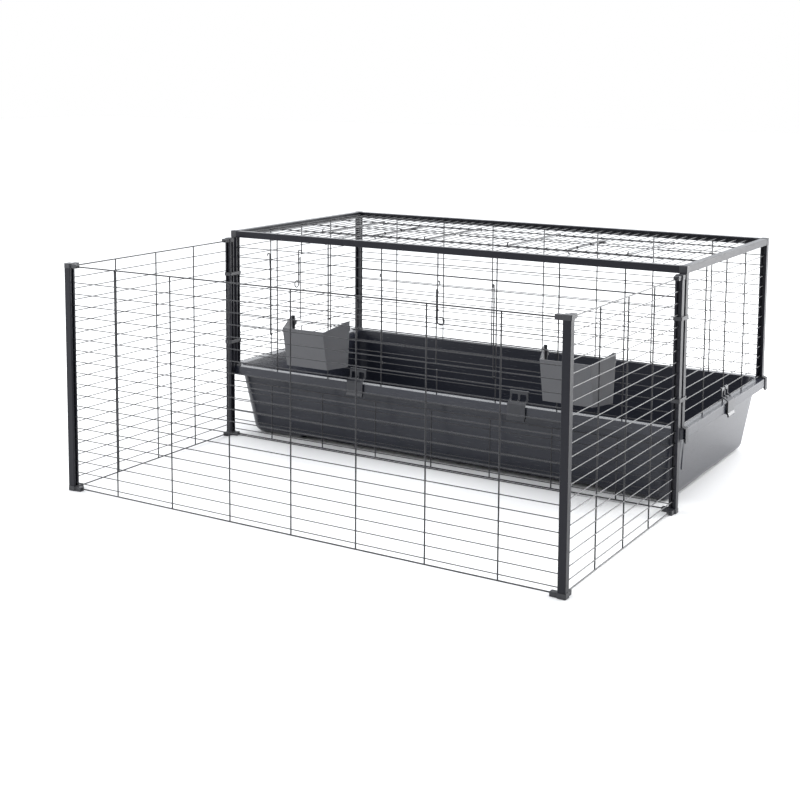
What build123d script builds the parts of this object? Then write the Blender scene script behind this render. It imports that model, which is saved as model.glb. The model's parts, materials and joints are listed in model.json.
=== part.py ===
"""Low rodent cage: plastic floor tray, wire top on a square-section frame, and a
wire run fenced off in front of it. Millimetres, +Z up, floor at Z = 0, X = 0 in
the middle of the cage, Y = 0 on the centre line of the cage's front posts."""

import math
import os

from build123d import *

os.makedirs("parts", exist_ok=True)

# Cage
cage_width = 1180.0
cage_depth = 590.0
rail_z = 518.0
connector_size = 17.6
rim_z = 178.0
post_x = cage_width / 2
mid_y = cage_depth / 2

# Wire mesh
upright_wire = 3.0
cross_wire = 2.0
mesh_pitch = 25.0
upright_margin = 129.8
side_margin = 151.3
upright_pitch = (cage_width - 2 * upright_margin) / 6
side_pitch = (cage_depth - 2 * side_margin) / 2
first_cross_z = rim_z + 6.0
upright_inset = 1.0
cross_outset = upright_wire / 2 + cross_wire / 2 - upright_inset

# Square frame profile with a groove on each face that takes wire ends
post_size = 16.0
post_edge = 1.0
groove_width = 6.0
groove_depth = 4.5
groove_floor = post_size / 2 - groove_depth

# Tray
rim_overhang = 15.0
rim_height = 22.0
rim_wall = 2.6
rim_corner = 20.0
tray_wall = 3.0
tray_top_inset = 1.0
tray_flare = 26.6
tray_low_corner = 34.0
tray_high_corner = 30.0
tray_bottom_round = 24.0
tray_inner_round = 20.0
foot_height = 12.0
foot_length = 180.0
foot_width = 230.0
foot_edge_x = post_x - foot_length
foot_edge_y = mid_y - foot_width
foot_slant = 3.0
emboss_height = 1.6
emboss_low_z = 65.0
emboss_high_z = 155.0
emboss_low_half = mid_y - 70.0
emboss_high_half = mid_y - 43.0

# Run
pen_gap = 9.0
pen_depth = 571.0
pen_post_top = 500.0
pen_foot_height = 10.0
pen_cap_height = 10.0
pen_cap_size = 18.0
pen_arm_length = 15.0
pen_arm_width = 12.0
pen_top_z = 503.0
pen_bottom_z = 5.0
pen_side_margin = 146.0
pen_side_pitch = (pen_depth - 2 * pen_side_margin) / 2
panel_low_z = 18.0
side_panel_low_z = 27.0
low_top_z = 143.0
rear_y = -(post_size + pen_gap)
front_y = rear_y - pen_depth

# Doors and latches
hinge_play = 0.05
door_low_z = first_cross_z + 2 * mesh_pitch
door_high_z = first_cross_z + 10 * mesh_pitch
latch_wire = 3.0
latch_lift = 0.4
rod_u = 4.2
ring_radius = 9.0
ring_v = 118.0
eye_wire = 2.0

# Roof
roof_cross_z = rail_z + 1.5
roof_long_z = roof_cross_z - (upright_wire + cross_wire) / 2
roof_wire_y = (mid_y - side_pitch, mid_y, mid_y + side_pitch)
roof_door_x = 10.5 * mesh_pitch
roof_door_half = 6.5 * mesh_pitch
hatch_rung_v = 20.0

# Tray clips
clip_width = 45.0
clip_wall = 2.0
clip_past_upright = 62.6
clip_x = upright_pitch + clip_past_upright
clip_window_x = 10.5
clip_window_width = 16.0
clip_window_height = 17.0
clip_hinge_z = first_cross_z + mesh_pitch

# Feeders
feeder_left_offset = 19.2
feeder_right_offset = 53.2
feeder_x = (-2 * upright_pitch - feeder_left_offset, 2 * upright_pitch + feeder_right_offset)
feeder_back = 172.0
feeder_front = 118.0
feeder_low_z = 212.0
feeder_front_z = 308.0
feeder_peak_z = 325.0
feeder_top_depth = 80.0
feeder_low_depth = 60.0
feeder_wall = 2.2
feeder_hook_wire_z = first_cross_z + 5 * mesh_pitch

# Collars that tie the run to the cage
collar_wall = 2.0
collar_height = 8.0
collar_z = (418.0, 243.0)


def save(piece, name):
    """Label a finished piece and write it under its own name."""
    piece.part.label = name
    export_step(piece.part, "parts/" + name + ".step")
    print(name, len(piece.part.solids()), round(piece.part.volume))


def rod(start, end, diameter):
    """Straight wire between two points, cut square at both ends."""
    run = Vector(*end) - Vector(*start)
    return Solid.make_cylinder(diameter / 2, run.length, Plane(origin=start, z_dir=run))


def bent_wire(points, diameter, bend):
    """Wire through the points, with a round bend at each corner."""
    with BuildPart() as wire:
        with BuildLine() as path:
            FilletPolyline(*points, radius=bend)
        with BuildSketch(Plane(origin=path.line @ 0, z_dir=path.line % 0)):
            Circle(diameter / 2)
        sweep()
    return wire.part


def profile_bar(plane, length, grooves):
    """Square bar along the plane's normal, grooved on the named faces."""
    with BuildPart() as bar:
        with BuildSketch(plane):
            RectangleRounded(post_size, post_size, post_edge)
            offset_to_groove = post_size / 2 - groove_depth / 2
            spots = [(offset_to_groove * gx, offset_to_groove * gy) for gx, gy in grooves]
            for spot, groove in zip(spots, grooves):
                across = groove[0] == 0
                with Locations(spot):
                    if across:
                        Rectangle(groove_width, groove_depth, mode=Mode.SUBTRACT)
                    else:
                        Rectangle(groove_depth, groove_width, mode=Mode.SUBTRACT)
        extrude(amount=length)
    return bar


def tray_tub(inset_x, inset_y, low_z, high_z):
    """Tub that widens upward, set in from the tray's outer faces."""
    with BuildPart() as tub:
        for z, corner in ((low_z, tray_low_corner), (high_z, tray_high_corner)):
            flare_left = tray_flare * (1 - z / rim_z) + tray_top_inset
            half_x = post_x - flare_left - inset_x
            half_y = mid_y - flare_left - inset_y
            with BuildSketch(Plane.XY.offset(z)):
                with Locations((0, mid_y)):
                    RectangleRounded(2 * half_x, 2 * half_y, corner - max(inset_x, 0))
        loft()
    return tub


# Floor tray: a tapered tub with a flat rim that turns down into a skirt, four
# hollow feet at its corners, and a shallow raised field on each end.
tray_floor_z = foot_height + tray_wall
with BuildPart() as end_fields:
    add(tray_tub(-emboss_height, 20.0, foot_height, rim_z - 1).part)
    with BuildSketch(Plane.YZ) as field_outline:
        with BuildLine():
            Polyline(
                (mid_y - emboss_low_half, emboss_low_z),
                (mid_y + emboss_low_half, emboss_low_z),
                (mid_y + emboss_high_half, emboss_high_z),
                (mid_y - emboss_high_half, emboss_high_z),
                close=True,
            )
        make_face()
        fillet(field_outline.vertices(), radius=10)
    extrude(amount=cage_width, both=True, mode=Mode.INTERSECT)
pocket_low_x = foot_edge_x + 2 * tray_wall
pocket_high_x = post_x - 45.0
pocket_low_y = foot_edge_y + 2 * tray_wall
pocket_high_y = mid_y - 45.0
with BuildPart() as tub_hollow:
    add(tray_tub(tray_wall, tray_wall, tray_floor_z, rim_z + 2).part)
    fillet(tub_hollow.edges().group_by(Axis.Z)[0], radius=tray_inner_round)
    with BuildSketch(Plane.XY.offset(tray_wall)):
        with Locations((0, mid_y)):
            with GridLocations(pocket_low_x + pocket_high_x, pocket_low_y + pocket_high_y, 2, 2):
                RectangleRounded(pocket_high_x - pocket_low_x, pocket_high_y - pocket_low_y, 15)
    extrude(amount=foot_height + 2, taper=-12)
with BuildPart() as tray:
    add(tray_tub(0, 0, 0, rim_z).part)
    fillet(tray.edges().group_by(Axis.Z)[0], radius=tray_bottom_round)
    add(end_fields.part)
    with BuildSketch(Plane.XY.offset(rim_z)):
        with Locations((0, mid_y)):
            RectangleRounded(
                cage_width + 2 * rim_overhang, cage_depth + 2 * rim_overhang, rim_corner
            )
    extrude(amount=-tray_wall)
    with BuildSketch(Plane.XY.offset(rim_z)):
        with Locations((0, mid_y)):
            RectangleRounded(
                cage_width + 2 * rim_overhang, cage_depth + 2 * rim_overhang, rim_corner
            )
            RectangleRounded(
                cage_width + 2 * (rim_overhang - rim_wall),
                cage_depth + 2 * (rim_overhang - rim_wall),
                rim_corner - rim_wall,
                mode=Mode.SUBTRACT,
            )
    extrude(amount=-rim_height)
    for plane, middle, half in (
        (Plane.XZ, 0, foot_edge_x),
        (Plane.YZ, mid_y, foot_edge_y),
    ):
        with BuildSketch(plane):
            with BuildLine():
                Polyline(
                    (middle - half - foot_slant, -1),
                    (middle + half + foot_slant, -1),
                    (middle + half - foot_slant, foot_height),
                    (middle - half + foot_slant, foot_height),
                    close=True,
                )
            make_face()
        extrude(amount=cage_width, both=True, mode=Mode.SUBTRACT)
    add(tub_hollow.part, mode=Mode.SUBTRACT)
save(tray, "tray")

# Cage posts stand on the rim's corner feet and end under the top connectors.
foot_block_height = 4.0
foot_block_top = rim_z + foot_block_height
post_length = rail_z - connector_size / 2 - foot_block_top
corners = {
    "front_left": (-1, 0),
    "front_right": (1, 0),
    "back_left": (-1, 1),
    "back_right": (1, 1),
}
for corner, (side, back) in corners.items():
    inward_y = -1 if back else 1
    post_plane = Plane(origin=(side * post_x, back * cage_depth, foot_block_top))
    post = profile_bar(post_plane, post_length, [(-side, 0), (0, inward_y)])
    save(post, "cage_post_" + corner)

    with BuildPart() as connector:
        with Locations((side * post_x, back * cage_depth, rail_z)):
            Box(connector_size, connector_size, connector_size)
        chamfer(connector.edges(), length=1.2)
    save(connector, "top_corner_" + corner)

    tab_gap = 0.3
    tab_wall = 1.7
    tab_low_z = rim_z - rim_height - 8.0
    tab_in_x = post_x + rim_overhang + tab_gap
    with BuildPart() as rim_foot:
        with Locations((side * post_x, back * cage_depth, rim_z)):
            Box(
                pen_cap_size, pen_cap_size, foot_block_height,
                align=(Align.CENTER, Align.CENTER, Align.MIN),
            )
        fillet(rim_foot.edges().filter_by(Axis.Z), radius=1.5)
        with BuildSketch(Plane.XZ.offset(-back * cage_depth)):
            with BuildLine():
                Polyline(
                    (side * (post_x + 5), rim_z),
                    (side * tab_in_x, rim_z),
                    (side * tab_in_x, rim_z - rim_height - 1),
                    (side * (tab_in_x - 3.5), rim_z - rim_height - 1),
                    (side * (tab_in_x - 2.5), rim_z - rim_height - 3.5),
                    (side * tab_in_x, tab_low_z),
                    (side * (tab_in_x + tab_wall), tab_low_z),
                    (side * (tab_in_x + tab_wall), rim_z + 1.5),
                    (side * (post_x + 9), rim_z + foot_block_height),
                    (side * (post_x + 5), rim_z + foot_block_height),
                    close=True,
                )
            make_face()
        extrude(amount=post_size / 2, both=True)
    save(rim_foot, "rim_foot_" + corner)

# Top rails: grooved below for the walls and inward for the roof.
rail_span = cage_width - connector_size
side_rail_span = cage_depth - connector_size
front_rail_plane = Plane(
    origin=(-rail_span / 2, 0, rail_z), x_dir=(0, 1, 0), z_dir=(1, 0, 0)
)
front_rail = profile_bar(front_rail_plane, rail_span, [(0, -1), (1, 0)])
save(front_rail, "top_rail_front")
back_rail_plane = Plane(
    origin=(-rail_span / 2, cage_depth, rail_z), x_dir=(0, 1, 0), z_dir=(1, 0, 0)
)
back_rail = profile_bar(back_rail_plane, rail_span, [(0, -1), (-1, 0)])
save(back_rail, "top_rail_back")
for side, name in ((-1, "left"), (1, "right")):
    side_rail_plane = Plane(
        origin=(side * post_x, cage_depth - connector_size / 2, rail_z),
        x_dir=(1, 0, 0),
        z_dir=(0, -1, 0),
    )
    side_rail = profile_bar(side_rail_plane, side_rail_span, [(0, -1), (-side, 0)])
    save(side_rail, "top_rail_" + name)

# Wire walls of the cage. Uprights run from the rim to the rails, cross wires
# from post to post on their outer side, and a doorway is left in two walls.
groove_x = post_x - groove_floor
wire_top = rail_z - groove_floor
cross_zs = [first_cross_z + mesh_pitch * k for k in range(13)]
doorway_zs = [z for z in cross_zs if door_low_z < z < door_high_z]
plain_zs = [z for z in cross_zs if z not in doorway_zs]
frame_end = 1.0
wall_y = {"front": (0, -1), "back": (cage_depth, 1)}
for name, (y, out) in wall_y.items():
    upright_y = y - out * upright_inset
    cross_y = y + out * cross_outset
    wires = []
    for i in range(-3, 4):
        x = i * upright_pitch
        if name == "front" and i == 0:
            sill_end = (x, upright_y, door_low_z + frame_end)
            head_end = (x, upright_y, door_high_z - frame_end)
            wires.append(rod((x, upright_y, rim_z), sill_end, upright_wire))
            wires.append(rod(head_end, (x, upright_y, wire_top), upright_wire))
        else:
            wires.append(rod((x, upright_y, rim_z), (x, upright_y, wire_top), upright_wire))
    for z in cross_zs:
        if name == "front" and z in doorway_zs:
            jamb = upright_pitch - upright_wire / 2 + 0.5
            wires.append(rod((-groove_x, cross_y, z), (-jamb, cross_y, z), cross_wire))
            wires.append(rod((jamb, cross_y, z), (groove_x, cross_y, z), cross_wire))
        else:
            wires.append(rod((-groove_x, cross_y, z), (groove_x, cross_y, z), cross_wire))
    with BuildPart() as wall:
        add(wires)
    save(wall, name + "_mesh")

for side, name in ((-1, "left"), (1, "right")):
    upright_x = side * (post_x - upright_inset)
    cross_x = side * (post_x + cross_outset)
    low_y = groove_floor
    high_y = cage_depth - groove_floor
    wires = []
    for i in range(-1, 2):
        y = mid_y + i * side_pitch
        if name == "left" and i == 0:
            sill_end = (upright_x, y, door_low_z + frame_end)
            head_end = (upright_x, y, door_high_z - frame_end)
            wires.append(rod((upright_x, y, rim_z), sill_end, upright_wire))
            wires.append(rod(head_end, (upright_x, y, wire_top), upright_wire))
        else:
            wires.append(rod((upright_x, y, rim_z), (upright_x, y, wire_top), upright_wire))
    for z in cross_zs:
        if name == "left" and z in doorway_zs:
            jamb = side_pitch - upright_wire / 2 + 0.5
            wires.append(rod((cross_x, low_y, z), (cross_x, mid_y - jamb, z), cross_wire))
            wires.append(rod((cross_x, mid_y + jamb, z), (cross_x, high_y, z), cross_wire))
        else:
            wires.append(rod((cross_x, low_y, z), (cross_x, high_y, z), cross_wire))
    with BuildPart() as wall:
        add(wires)
    save(wall, name + "_mesh")

# Roof: close wires from front to back over three long ones, with two hatches.
roof_edge_x = post_x - groove_floor
roof_front_y = groove_floor
roof_back_y = cage_depth - groove_floor
roof_count = int(roof_edge_x // mesh_pitch)
roof_wires = []
for i in range(-roof_count, roof_count + 1):
    x = i * mesh_pitch
    if abs(abs(x) - roof_door_x) < roof_door_half - 1:
        spans = [(roof_front_y, roof_wire_y[0] + 2), (roof_wire_y[2] - 2, roof_back_y)]
    else:
        spans = [(roof_front_y, roof_back_y)]
    for low_y, high_y in spans:
        roof_wires.append(rod((x, low_y, roof_cross_z), (x, high_y, roof_cross_z), cross_wire))
for y in (roof_wire_y[0], roof_wire_y[2]):
    roof_wires.append(rod((-roof_edge_x, y, roof_long_z), (roof_edge_x, y, roof_long_z), upright_wire))
hatch_in = roof_door_x - roof_door_half
hatch_out = roof_door_x + roof_door_half
for low_x, high_x in (
    (-roof_edge_x, frame_end - hatch_out),
    (-hatch_in - frame_end, hatch_in + frame_end),
    (hatch_out - frame_end, roof_edge_x),
):
    low_end = (low_x, roof_wire_y[1], roof_long_z)
    high_end = (high_x, roof_wire_y[1], roof_long_z)
    roof_wires.append(rod(low_end, high_end, upright_wire))
with BuildPart() as roof_mesh:
    add(roof_wires)
save(roof_mesh, "roof_mesh")


def door_placer(origin, across, along, outward):
    """Map a door's own (across, along, outward) figures to the cage's frame."""
    o, a, b, c = Vector(*origin), Vector(*across), Vector(*along), Vector(*outward)

    def place(u, v, w):
        spot = o + a * u + b * v + c * w
        return (spot.X, spot.Y, spot.Z)

    return place


def door_upright(place, u, length, hinge_radius):
    """Side wire of a door: curled round the hinge wire, with a hooked top end."""
    w = hinge_radius + hinge_play + upright_wire / 2
    points = [
        place(u, 0.75 * w, -w),
        place(u, -w, -w),
        place(u, -w, w),
        place(u, length - 22, w),
        place(u, length - 12, w + 1.0),
        place(u, length + 16, w + 1.0),
        place(u, length + 16, w + 8.0),
        place(u, length + 9, w + 8.0),
    ]
    bends = [0.95 * w, 0.95 * w, 12.0, 12.0, 3.2, 3.2]
    return bent_wire(points, upright_wire, bends)


def latch(place, length, hinge_radius, header_radius):
    """Sliding latch rod with a hook past the header wire and a finger ring."""
    w = hinge_radius + hinge_play + upright_wire / 2 + 2.4
    tip_w = -5.0
    tip_v = length + header_radius + latch_lift
    ring_u = rod_u + ring_radius

    def ring_point(degrees):
        turn = math.radians(degrees)
        return place(ring_u + ring_radius * math.cos(turn), ring_v + ring_radius * math.sin(turn), w)

    with BuildPart() as piece:
        with BuildLine() as path:
            ThreePointArc(ring_point(118), ring_point(45), ring_point(-30))
            ThreePointArc(ring_point(-30), ring_point(-105), ring_point(-180))
            FilletPolyline(
                place(rod_u, ring_v, w),
                place(rod_u, length + 10.5, w),
                place(rod_u, length + 10.5, tip_w),
                place(rod_u, tip_v, tip_w),
                radius=3.0,
            )
        with BuildSketch(Plane(origin=path.line @ 0, z_dir=path.line % 0)):
            Circle(latch_wire / 2)
        sweep()
    return piece


def latch_eye(place, v, hinge_radius):
    """Small wire eye on the door's middle wire that guides the latch rod."""
    w = hinge_radius + hinge_play + upright_wire / 2 + 2.4
    along = Vector(*place(0, 1, 0)) - Vector(*place(0, 0, 0))
    eye_radius = latch_wire / 2 + 0.08 + eye_wire / 2
    return Solid.make_torus(eye_radius, eye_wire / 2, Plane(origin=place(rod_u, v, w), z_dir=along))


def wall_door(place, half_width, name):
    """Wall door: two curled side wires, a middle wire, rungs on the inner side."""
    hinge_radius = cross_wire / 2
    length = door_high_z - door_low_z
    w = hinge_radius + hinge_play + upright_wire / 2
    rung_w = w - (upright_wire + cross_wire) / 2
    edge = half_width - 4.0
    wires = [door_upright(place, u, length, hinge_radius) for u in (-edge, edge)]
    for k in range(1, 8):
        v = k * mesh_pitch
        wires.append(rod(place(-edge - 1.8, v, rung_w), place(edge + 1.8, v, rung_w), cross_wire))
    middle = rod(place(0, mesh_pitch - 8, w), place(0, length - 8, w), upright_wire)
    with BuildPart() as middle_wire:
        add([middle, latch_eye(place, 144.0, hinge_radius), latch_eye(place, 186.0, hinge_radius)])
    with BuildPart() as door:
        add(wires)
        add(middle_wire.part)
    save(door, name)
    save(latch(place, length, hinge_radius, cross_wire / 2), name + "_latch")


front_place = door_placer((0, -cross_outset, door_low_z), (1, 0, 0), (0, 0, 1), (0, -1, 0))
wall_door(front_place, upright_pitch, "front_door")
left_place = door_placer(
    (-post_x - cross_outset, mid_y, door_low_z), (0, -1, 0), (0, 0, 1), (-1, 0, 0)
)
wall_door(left_place, side_pitch, "side_door")

# Roof hatches: hinged on the rear long wire, latched past the front long wire.
hatch_length = roof_wire_y[2] - roof_wire_y[0]
hatch_radius = upright_wire / 2
for side, name in ((-1, "left"), (1, "right")):
    place = door_placer(
        (side * roof_door_x, roof_wire_y[2], roof_long_z), (1, 0, 0), (0, -1, 0), (0, 0, 1)
    )
    w = hatch_radius + hinge_play + upright_wire / 2
    rung_w = w - (upright_wire + cross_wire) / 2
    edge = roof_door_half - 12.5
    wires = [door_upright(place, u, hatch_length, hatch_radius) for u in (-edge, edge)]
    for v in (hatch_rung_v, hatch_length / 2, hatch_length - 14.0):
        wires.append(rod(place(-edge - 1.8, v, rung_w), place(edge + 1.8, v, rung_w), cross_wire))
    for i in range(6):
        for turn in (-1, 1):
            u = turn * (mesh_pitch / 2 + mesh_pitch * i)
            near_end = place(u, hatch_rung_v - 2, w - 0.5)
            wires.append(rod(near_end, place(u, hatch_length - 9, w - 0.5), cross_wire))
    middle = rod(place(0, hatch_rung_v - 2, w), place(0, hatch_length - 9, w), upright_wire)
    with BuildPart() as middle_wire:
        add([middle, latch_eye(place, 170.0, hatch_radius), latch_eye(place, 250.0, hatch_radius)])
    with BuildPart() as hatch:
        add(wires)
        add(middle_wire.part)
    save(hatch, "roof_door_" + name)
    save(latch(place, hatch_length, hatch_radius, upright_wire / 2), "roof_door_" + name + "_latch")


# Tray clips: hinged on a low cross wire, folded over the rim and under its skirt.
def tray_clip(plane, has_notch):
    """Clip in its own plane: X outward from the wall, Y up, width along Z."""
    hinge_x = cross_outset
    knuckle = cross_wire / 2 + 0.06
    outer = knuckle + clip_wall
    face_x = rim_overhang + 3.0
    low_z = rim_z - rim_height
    with BuildPart() as clip:
        with BuildSketch(plane):
            with BuildLine():
                Polyline(
                    (hinge_x + knuckle, clip_hinge_z),
                    (hinge_x + outer, clip_hinge_z),
                    (hinge_x + outer, rim_z + 15),
                    (face_x + clip_wall, rim_z + 5),
                    (face_x + clip_wall, low_z - 1),
                    (face_x + clip_wall + 2.5, low_z - 7),
                    (face_x + clip_wall + 2.0, low_z - 10),
                    (face_x, low_z - 10),
                    (face_x + 0.6, low_z - 7),
                    (face_x - 1, low_z - 3.8),
                    (face_x - 5, low_z - 3.2),
                    (face_x - 5.6, low_z - 1),
                    (face_x, low_z - 1),
                    (face_x, rim_z + 3.6),
                    (hinge_x + knuckle, rim_z + 13.6),
                    close=True,
                )
            make_face()
            with Locations((hinge_x, clip_hinge_z)):
                Circle(outer)
                Circle(knuckle, mode=Mode.SUBTRACT)
            with Locations((hinge_x - outer, clip_hinge_z - outer / 2)):
                Rectangle(2 * outer, outer, mode=Mode.SUBTRACT)
        extrude(amount=clip_width / 2, both=True)
        window_plane = Plane(origin=plane.origin, x_dir=-plane.z_dir, z_dir=plane.x_dir)
        with BuildSketch(window_plane.offset(-10)):
            if has_notch:
                with Locations((0, clip_hinge_z - 1)):
                    Rectangle(7, 10)
            window_z = clip_hinge_z - 5 - clip_window_height / 2
            with Locations((-clip_window_x, window_z), (clip_window_x, window_z)):
                RectangleRounded(clip_window_width, clip_window_height, 2.5)
        extrude(amount=40, mode=Mode.SUBTRACT)
    return clip


for side, name in ((-1, "left"), (1, "right")):
    front_plane = Plane(origin=(side * clip_x, 0, 0), x_dir=(0, -1, 0), z_dir=(-1, 0, 0))
    save(tray_clip(front_plane, False), "tray_clip_front_" + name)
    side_plane = Plane(origin=(side * post_x, mid_y, 0), x_dir=(side, 0, 0), z_dir=(0, -side, 0))
    save(tray_clip(side_plane, True), "tray_clip_" + name)

# Run posts with their feet and caps.
pen_corners = {
    "front_left": (-1, front_y),
    "front_right": (1, front_y),
    "rear_left": (-1, rear_y),
    "rear_right": (1, rear_y),
}
for corner, (side, y) in pen_corners.items():
    is_front = y == front_y
    to_panel = 1 if is_front else -1
    pen_post_plane = Plane(origin=(side * post_x, y, pen_foot_height))
    pen_post = profile_bar(
        pen_post_plane, pen_post_top - pen_foot_height, [(-side, 0), (0, to_panel)]
    )
    save(pen_post, "pen_post_" + corner)
    arm_reach = pen_cap_size / 2 + pen_arm_length
    for kind, low_z, height in (("foot", 0.0, pen_foot_height), ("cap", pen_post_top, pen_cap_height)):
        arm_height = height - 1.0
        with BuildPart() as fitting:
            with Locations((side * post_x, y, low_z)):
                Box(
                    pen_cap_size, pen_cap_size, height,
                    align=(Align.CENTER, Align.CENTER, Align.MIN),
                )
            chamfer(fitting.edges().filter_by(Axis.Z), length=2.0)
            with Locations((side * post_x, y + to_panel * arm_reach / 2, low_z)):
                Box(
                    pen_arm_width, arm_reach, arm_height,
                    align=(Align.CENTER, Align.CENTER, Align.MIN),
                )
            if is_front or kind == "foot":
                with Locations((side * (post_x - arm_reach / 2), y, low_z)):
                    Box(
                        arm_reach, pen_arm_width, arm_height,
                        align=(Align.CENTER, Align.CENTER, Align.MIN),
                    )
        save(fitting, "pen_" + kind + "_" + corner)

# Wire panels of the run.
arm_end_x = post_x - pen_cap_size / 2 - pen_arm_length
long_top = pen_top_z - upright_wire / 2
long_bottom = pen_bottom_z + upright_wire / 2
front_wires = []
panel_y = front_y + upright_inset
front_cross_y = front_y - cross_outset
for i in range(-3, 4):
    x = i * upright_pitch
    front_wires.append(rod((x, panel_y, long_bottom), (x, panel_y, long_top), upright_wire))
for z in (pen_bottom_z, pen_top_z):
    front_wires.append(rod((-arm_end_x, panel_y, z), (arm_end_x, panel_y, z), upright_wire))
for k in range(19):
    z = panel_low_z + mesh_pitch * k
    front_wires.append(rod((-groove_x, front_cross_y, z), (groove_x, front_cross_y, z), cross_wire))
with BuildPart() as pen_front_mesh:
    add(front_wires)
save(pen_front_mesh, "pen_front_mesh")

side_mid_y = (rear_y + front_y) / 2
arm_high_y = rear_y - pen_cap_size / 2 - pen_arm_length
arm_low_y = front_y + pen_cap_size / 2 + pen_arm_length
for side, name in ((-1, "left"), (1, "right")):
    upright_x = side * (post_x - upright_inset)
    cross_x = side * (post_x + cross_outset)
    wires = []
    for i in range(-1, 2):
        y = side_mid_y + i * pen_side_pitch
        wires.append(rod((upright_x, y, long_bottom), (upright_x, y, long_top), upright_wire))
    for z in (pen_bottom_z, pen_top_z):
        wires.append(rod((upright_x, arm_low_y, z), (upright_x, arm_high_y, z), upright_wire))
    for k in range(19):
        z = side_panel_low_z + mesh_pitch * k
        near_end = (cross_x, front_y + groove_floor, z)
        wires.append(rod(near_end, (cross_x, rear_y - groove_floor, z), cross_wire))
    with BuildPart() as pen_side_mesh:
        add(wires)
    save(pen_side_mesh, "pen_" + name + "_mesh")

low_wires = []
low_y = rear_y + upright_inset
low_cross_y = rear_y - cross_outset
for i in range(-3, 4):
    x = i * upright_pitch
    top_end = (x, low_y, low_top_z - upright_wire / 2)
    low_wires.append(rod((x, low_y, long_bottom), top_end, upright_wire))
for z, end_x in ((pen_bottom_z, arm_end_x), (low_top_z, groove_x)):
    low_wires.append(rod((-end_x, low_y, z), (end_x, low_y, z), upright_wire))
for k in range(5):
    z = panel_low_z + mesh_pitch * k
    low_wires.append(rod((-groove_x, low_cross_y, z), (groove_x, low_cross_y, z), cross_wire))
with BuildPart() as pen_rear_low_mesh:
    add(low_wires)
save(pen_rear_low_mesh, "pen_rear_low_mesh")

# Figure-of-eight collars round a run post and the cage post behind it.
collar_mid_y = rear_y / 2
for side, name in ((-1, "left"), (1, "right")):
    for z, level in zip(collar_z, ("upper", "lower")):
        with BuildPart() as collar:
            with BuildSketch(Plane.XY.offset(z - collar_height / 2)):
                with Locations((side * post_x, collar_mid_y)):
                    RectangleRounded(
                        post_size + 2 * collar_wall, post_size - rear_y + 2 * collar_wall, 2.5
                    )
                with Locations((side * post_x, 0), (side * post_x, rear_y)):
                    RectangleRounded(post_size, post_size, post_edge, mode=Mode.SUBTRACT)
            extrude(amount=collar_height)
        save(collar, "post_clip_" + name + "_" + level)

# Feeders: open-backed troughs hung on the front wall, inside the run.
feeder_y = -(cross_outset + cross_wire / 2 + 0.5)
for mid_x, name in zip(feeder_x, ("left", "right")):
    outlines = []
    for shrink in (0.0, feeder_wall):
        levels = []
        for z, depth, back in (
            (feeder_low_z, feeder_low_depth, feeder_back - 12),
            (feeder_peak_z + 15, feeder_top_depth + 6, feeder_back),
        ):
            taper = (back - feeder_front) / 2 / depth
            rear_half = back / 2 - shrink
            front_half = feeder_front / 2 - shrink + taper * shrink
            levels.append((z, depth - shrink, rear_half, front_half))
        outlines.append(levels)
    with BuildPart() as feeder:
        for levels, mode in zip(outlines, (Mode.ADD, Mode.SUBTRACT)):
            lift = feeder_wall if mode == Mode.SUBTRACT else 0.0
            for z, depth, rear_half, front_half in levels:
                with BuildSketch(Plane.XY.offset(z + lift)):
                    with BuildLine():
                        Polyline(
                            (mid_x - rear_half, feeder_y - lift),
                            (mid_x + rear_half, feeder_y - lift),
                            (mid_x + front_half, feeder_y - depth),
                            (mid_x - front_half, feeder_y - depth),
                            close=True,
                        )
                    make_face()
            loft(mode=mode)
        with BuildSketch(Plane.YZ.offset(mid_x)):
            with BuildLine():
                Polyline(
                    (feeder_y + 5, feeder_peak_z),
                    (feeder_y - 10, feeder_peak_z),
                    (feeder_y - feeder_top_depth + 8, feeder_front_z),
                    (feeder_y - feeder_top_depth - 30, feeder_front_z),
                    (feeder_y - feeder_top_depth - 30, feeder_peak_z + 40),
                    (feeder_y + 5, feeder_peak_z + 40),
                    close=True,
                )
            make_face()
        extrude(amount=feeder_back, both=True, mode=Mode.SUBTRACT)
        with BuildSketch(Plane.XZ.offset(-feeder_y - 4)):
            with Locations((mid_x, feeder_low_z + 34)):
                RectangleRounded(
                    feeder_back - 2 * feeder_wall - 14, 200, 6,
                    align=(Align.CENTER, Align.MIN),
                )
        extrude(amount=4 + feeder_wall + 0.5, mode=Mode.SUBTRACT)
        for side in (-1, 1):
            hook_x = mid_x + side * (feeder_back / 2 - 6.5)
            hook_low = feeder_hook_wire_z + cross_wire / 2 + 0.3
            with BuildSketch(Plane.YZ.offset(hook_x - 3.5)):
                with BuildLine():
                    Polyline(
                        (feeder_y - 2.2, hook_low - 12),
                        (feeder_y, hook_low - 12),
                        (feeder_y, hook_low),
                        (0.2, hook_low),
                        (0.2, hook_low - 9),
                        (2.6, hook_low - 9),
                        (2.6, hook_low + 3.4),
                        (feeder_y - 2.2, hook_low + 3.4),
                        close=True,
                    )
                make_face()
            extrude(amount=7.0)
    save(feeder, "feeder_" + name)
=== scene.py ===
"""Materials, camera and studio for the rodent cage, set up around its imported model."""

import json
import math

import bpy
from mathutils import Matrix, Vector

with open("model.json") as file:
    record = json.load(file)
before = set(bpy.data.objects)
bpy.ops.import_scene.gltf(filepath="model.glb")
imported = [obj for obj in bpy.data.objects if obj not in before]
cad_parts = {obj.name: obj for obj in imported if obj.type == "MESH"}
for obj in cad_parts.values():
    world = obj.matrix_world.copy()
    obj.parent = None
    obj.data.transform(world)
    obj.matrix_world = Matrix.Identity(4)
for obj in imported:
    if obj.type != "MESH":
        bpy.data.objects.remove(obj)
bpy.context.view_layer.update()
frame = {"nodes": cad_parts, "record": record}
scene = bpy.context.scene

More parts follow.
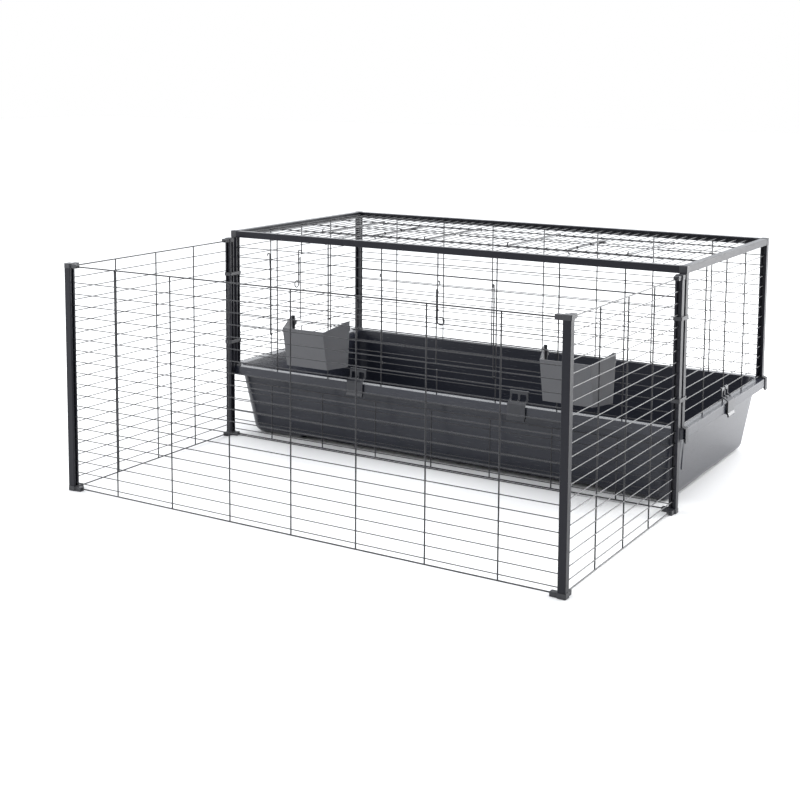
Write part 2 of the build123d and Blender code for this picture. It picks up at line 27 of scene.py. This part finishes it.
# Camera: place, angle and lens worked out from the photo's wires, posts and rails.
YAW, PITCH, ROLL = -0.5643, 0.1146, 0.0032
EYE = Vector((1.53197, -2.76777, 0.91743))
LENS = 61.61
LENS_SHIFT = (0.05255, -0.20725)

# Faces that meet at more than this angle, in degrees, keep a sharp edge.
SHARP_ANGLE = 32

FLOOR_SIZE = 40.0
FLOOR_Z = -0.0005
CARD_PLACE = (2.1, 0.1, 0.75)
CARD_HEIGHT = 1.5
CARD_LENGTH = 2.0

# Studio light: it falls from bright to dim away from this direction.
SKY_TINT = (0.95, 0.97, 1.0, 1.0)
BRIGHT_SIDE = (-0.45, 0.6, 0.66)
DIM_STRENGTH = 0.1
BRIGHT_STRENGTH = 1.75


def make_camera():
    """Camera at the photo's viewing angle."""
    forward = Vector(
        (math.sin(YAW) * math.cos(PITCH), math.cos(YAW) * math.cos(PITCH), -math.sin(PITCH))
    )
    right = Vector((math.cos(YAW), -math.sin(YAW), 0.0))
    up = right.cross(forward)
    cam_x = right * math.cos(ROLL) + up * math.sin(ROLL)
    cam_y = up * math.cos(ROLL) - right * math.sin(ROLL)
    data = bpy.data.cameras.new("photo_camera")
    data.sensor_fit = "HORIZONTAL"
    data.sensor_width = 36.0
    data.lens = LENS
    data.shift_x, data.shift_y = LENS_SHIFT
    data.clip_end = 60.0
    camera = bpy.data.objects.new("photo_camera", data)
    rows = [(cam_x[i], cam_y[i], -forward[i], EYE[i]) for i in range(3)]
    camera.matrix_world = Matrix(rows + [(0.0, 0.0, 0.0, 1.0)])
    scene.collection.objects.link(camera)
    scene.camera = camera


def material_tree(name):
    """A new material, its Principled shader, and short ways to add and link nodes."""
    mat = bpy.data.materials.new(name)
    mat.use_nodes = True
    nt = mat.node_tree
    shader = nt.nodes["Principled BSDF"]

    def node(kind, **values):
        made = nt.nodes.new(kind)
        for key, value in values.items():
            if key in made.inputs:
                made.inputs[key].default_value = value
            else:
                setattr(made, key, value)
        return made

    return mat, shader, node, nt.links.new


def tone_mix(node, dark, light):
    """Mix node between a dark and a light tone."""
    tone = node("ShaderNodeMix", data_type="RGBA")
    tone.inputs["A"].default_value = (*dark, 1.0)
    tone.inputs["B"].default_value = (*light, 1.0)
    return tone


def plastic(name, dark, light, rough, grain_size, grain_depth, edge=0.0012):
    """Moulded plastic: fine grain, slow changes of tone, a painted highlight on the edges and
    faint scuffs.
    """
    scuff = 0.06
    # Strength and brightness of the painted highlight along the edges.
    edge_highlight_strength = 0.35
    edge_highlight_gain = 2.1
    mat, shader, node, link = material_tree(name)
    where = node("ShaderNodeTexCoord")
    slow = node("ShaderNodeTexNoise", Scale=5.0, Detail=4.0, Roughness=0.55)
    grain = node("ShaderNodeTexNoise", Scale=grain_size, Detail=3.0, Roughness=0.6)
    scratch_map = node("ShaderNodeMapping", Scale=(6.0, 60.0, 90.0), Rotation=(0.3, 0.5, 0.2))
    scratch = node("ShaderNodeTexNoise", Scale=4.0, Detail=6.0, Roughness=0.7)
    for reader in (slow, grain, scratch_map):
        link(where.outputs["Object"], reader.inputs["Vector"])
    link(scratch_map.outputs["Vector"], scratch.inputs["Vector"])

    tone = tone_mix(node, dark, light)
    link(slow.outputs["Fac"], tone.inputs["Factor"])
    edges = node("ShaderNodeBevel", samples=4, Radius=edge)
    geometry = node("ShaderNodeNewGeometry")
    turn = node("ShaderNodeVectorMath", operation="DOT_PRODUCT")
    link(edges.outputs["Normal"], turn.inputs[0])
    link(geometry.outputs["Normal"], turn.inputs[1])
    # Painted highlight: the colour turns lighter along rounded edges, where the bevel normal
    # turns away from the face normal.
    edge_highlight_mask = node("ShaderNodeMapRange")
    edge_highlight_mask.inputs["From Min"].default_value = 1.0
    edge_highlight_mask.inputs["From Max"].default_value = 0.72
    edge_highlight_mask.inputs["To Max"].default_value = edge_highlight_strength
    link(turn.outputs["Value"], edge_highlight_mask.inputs["Value"])
    highlight_tone = node("ShaderNodeMix", data_type="RGBA")
    highlight_tone.inputs["B"].default_value = (*[min(1.0, c * edge_highlight_gain) for c in light], 1.0)
    link(tone.outputs["Result"], highlight_tone.inputs["A"])
    link(edge_highlight_mask.outputs["Result"], highlight_tone.inputs["Factor"])
    link(highlight_tone.outputs["Result"], shader.inputs["Base Color"])

    marks = node("ShaderNodeMapRange")
    marks.inputs["From Min"].default_value = 0.45
    marks.inputs["From Max"].default_value = 0.75
    marks.inputs["To Min"].default_value = rough
    marks.inputs["To Max"].default_value = rough + scuff
    link(scratch.outputs["Fac"], marks.inputs["Value"])
    link(marks.outputs["Result"], shader.inputs["Roughness"])
    bump = node("ShaderNodeBump", Strength=0.35, Distance=grain_depth)
    link(grain.outputs["Fac"], bump.inputs["Height"])
    link(edges.outputs["Normal"], bump.inputs["Normal"])
    link(bump.outputs["Normal"], shader.inputs["Normal"])
    shader.inputs["IOR"].default_value = 1.5
    return mat


def powder_coat(name, dark, light, rough, cell, edge, gloss):
    """Powder coat on metal: orange-peel skin, small flecks and softened edges."""
    peel_depth = 0.00005
    mat, shader, node, link = material_tree(name)
    where = node("ShaderNodeTexCoord")
    peel = node("ShaderNodeTexVoronoi", Scale=cell, feature="SMOOTH_F1")
    fleck = node("ShaderNodeTexNoise", Scale=cell * 1.7, Detail=2.0, Roughness=0.7)
    slow = node("ShaderNodeTexNoise", Scale=9.0, Detail=3.0)
    for texture in (peel, fleck, slow):
        link(where.outputs["Object"], texture.inputs["Vector"])

    tone = tone_mix(node, dark, light)
    half_slow = node("ShaderNodeMath", operation="MULTIPLY")
    half_slow.inputs[1].default_value = 0.5
    link(slow.outputs["Fac"], half_slow.inputs[0])
    mixer = node("ShaderNodeMath", operation="MULTIPLY_ADD")
    mixer.inputs[1].default_value = 0.5
    link(fleck.outputs["Fac"], mixer.inputs[0])
    link(half_slow.outputs["Value"], mixer.inputs[2])
    link(mixer.outputs["Value"], tone.inputs["Factor"])
    link(tone.outputs["Result"], shader.inputs["Base Color"])

    rough_range = node("ShaderNodeMapRange")
    rough_range.inputs["To Min"].default_value = rough - 0.05
    rough_range.inputs["To Max"].default_value = rough + 0.08
    link(slow.outputs["Fac"], rough_range.inputs["Value"])
    link(rough_range.outputs["Result"], shader.inputs["Roughness"])
    edges = node("ShaderNodeBevel", samples=4, Radius=edge)
    bump = node("ShaderNodeBump", Strength=0.3, Distance=peel_depth)
    link(peel.outputs["Distance"], bump.inputs["Height"])
    link(edges.outputs["Normal"], bump.inputs["Normal"])
    link(bump.outputs["Normal"], shader.inputs["Normal"])
    shader.inputs["Metallic"].default_value = 0.0
    shader.inputs["Specular IOR Level"].default_value = gloss
    shader.inputs["Coat Weight"].default_value = 0.05
    shader.inputs["Coat Roughness"].default_value = 0.3
    return mat


def make_materials():
    """The materials by the record's slot names. Sizes are in metres."""
    return {
        "tray_plastic": plastic(
            "tray_plastic", (0.0135, 0.0155, 0.024), (0.0185, 0.0205, 0.03),
            rough=0.24, grain_size=700.0, grain_depth=0.00003, edge=0.002,
        ),
        "clip_plastic": plastic(
            "clip_plastic", (0.016, 0.017, 0.022), (0.022, 0.023, 0.029),
            rough=0.28, grain_size=900.0, grain_depth=0.00003,
        ),
        "feeder_plastic": plastic(
            "feeder_plastic", (0.07, 0.071, 0.077), (0.088, 0.089, 0.096),
            rough=0.4, grain_size=800.0, grain_depth=0.00004,
        ),
        "fitting_plastic": plastic(
            "fitting_plastic", (0.02, 0.0205, 0.025), (0.03, 0.031, 0.036),
            rough=0.45, grain_size=1200.0, grain_depth=0.0001,
        ),
        "coated_wire": powder_coat(
            "coated_wire", (0.008, 0.0082, 0.011), (0.016, 0.0162, 0.02),
            rough=0.28, cell=700.0, edge=0.0004, gloss=0.4,
        ),
        "frame_profile": powder_coat(
            "frame_profile", (0.007, 0.0074, 0.0115), (0.012, 0.0125, 0.018),
            rough=0.3, cell=800.0, edge=0.0009, gloss=0.2,
        ),
    }


def dress_nodes():
    """Give every CAD node its slot's material and smooth shading."""
    materials = make_materials()
    slots = {part["node"]: part["material_slot"] for part in frame["record"]["subparts"]}
    for name, obj in frame["nodes"].items():
        obj.data.materials.clear()
        obj.data.materials.append(materials[slots[name]])
        for face in obj.data.polygons:
            face.use_smooth = True
        obj.data.set_sharp_from_angle(angle=math.radians(SHARP_ANGLE))


def make_floor():
    """Pale paper floor that takes the shadow."""
    bpy.ops.mesh.primitive_plane_add(size=FLOOR_SIZE, location=(0, 0, FLOOR_Z))
    floor = bpy.context.object
    floor.name = "floor"
    paper, shader, _, _ = material_tree("floor_paper")
    shader.inputs["Base Color"].default_value = (0.9, 0.9, 0.9, 1.0)
    shader.inputs["Roughness"].default_value = 0.9
    shader.inputs["Specular IOR Level"].default_value = 0.1
    floor.data.materials.append(paper)


def make_card():
    """Black card on the right that takes some light off the right-facing surfaces."""
    upright = (0, math.radians(90), 0)
    bpy.ops.mesh.primitive_plane_add(size=1.0, location=CARD_PLACE, rotation=upright)
    card = bpy.context.object
    card.name = "black_card"
    card.scale = (CARD_HEIGHT, CARD_LENGTH, 1.0)
    black, shader, _, _ = material_tree("black_card")
    shader.inputs["Base Color"].default_value = (0.0, 0.0, 0.0, 1.0)
    shader.inputs["Specular IOR Level"].default_value = 0.0
    card.data.materials.append(black)
    card.visible_camera = False


def softbox(name, place, target, size, power):
    """Rectangular lamp at a place, aimed at a target."""
    data = bpy.data.lights.new(name, "AREA")
    data.shape = "RECTANGLE"
    data.size, data.size_y = size
    data.energy = power
    lamp = bpy.data.objects.new(name, data)
    aim = Vector(target) - Vector(place)
    turn = aim.to_track_quat("-Z", "Y").to_matrix().to_4x4()
    lamp.matrix_world = Matrix.Translation(place) @ turn
    scene.collection.objects.link(lamp)


def make_world():
    """White to the camera; to all other rays a studio, dim on the camera's side."""
    world = bpy.data.worlds.new("studio")
    scene.world = world
    world.use_nodes = True
    nt = world.node_tree
    nt.nodes.clear()
    link = nt.links.new
    shown = nt.nodes.new("ShaderNodeBackground")
    shown.inputs["Color"].default_value = (1.0, 1.0, 1.0, 1.0)
    shown.inputs["Strength"].default_value = 1.0
    soft = nt.nodes.new("ShaderNodeBackground")
    soft.inputs["Color"].default_value = SKY_TINT
    direction = nt.nodes.new("ShaderNodeTexCoord")
    facing = nt.nodes.new("ShaderNodeVectorMath")
    facing.operation = "DOT_PRODUCT"
    facing.inputs[1].default_value = BRIGHT_SIDE
    link(direction.outputs["Generated"], facing.inputs[0])
    falloff = nt.nodes.new("ShaderNodeMapRange")
    falloff.inputs["From Min"].default_value = -0.7
    falloff.inputs["From Max"].default_value = 0.8
    falloff.inputs["To Min"].default_value = DIM_STRENGTH
    falloff.inputs["To Max"].default_value = BRIGHT_STRENGTH
    link(facing.outputs["Value"], falloff.inputs["Value"])
    link(falloff.outputs["Result"], soft.inputs["Strength"])
    path = nt.nodes.new("ShaderNodeLightPath")
    mix = nt.nodes.new("ShaderNodeMixShader")
    out = nt.nodes.new("ShaderNodeOutputWorld")
    link(path.outputs["Is Camera Ray"], mix.inputs["Fac"])
    link(soft.outputs["Background"], mix.inputs[1])
    link(shown.outputs["Background"], mix.inputs[2])
    link(mix.outputs["Shader"], out.inputs["Surface"])


make_camera()
dress_nodes()
make_floor()
softbox("overhead", (0.3, 0.2, 3.4), (0, 0, 0), (4.5, 4.5), 60.0)
softbox("right_back", (3.2, 2.8, 1.3), (0.5, 0.2, 0.3), (3.4, 2.4), 260.0)
softbox("front_left", (-3.4, -2.6, 1.6), (0, 0, 0.2), (1.6, 1.6), 60.0)
make_card()
make_world()

scene.render.resolution_x = 800
scene.render.resolution_y = 800
scene.view_settings.view_transform = "Standard"
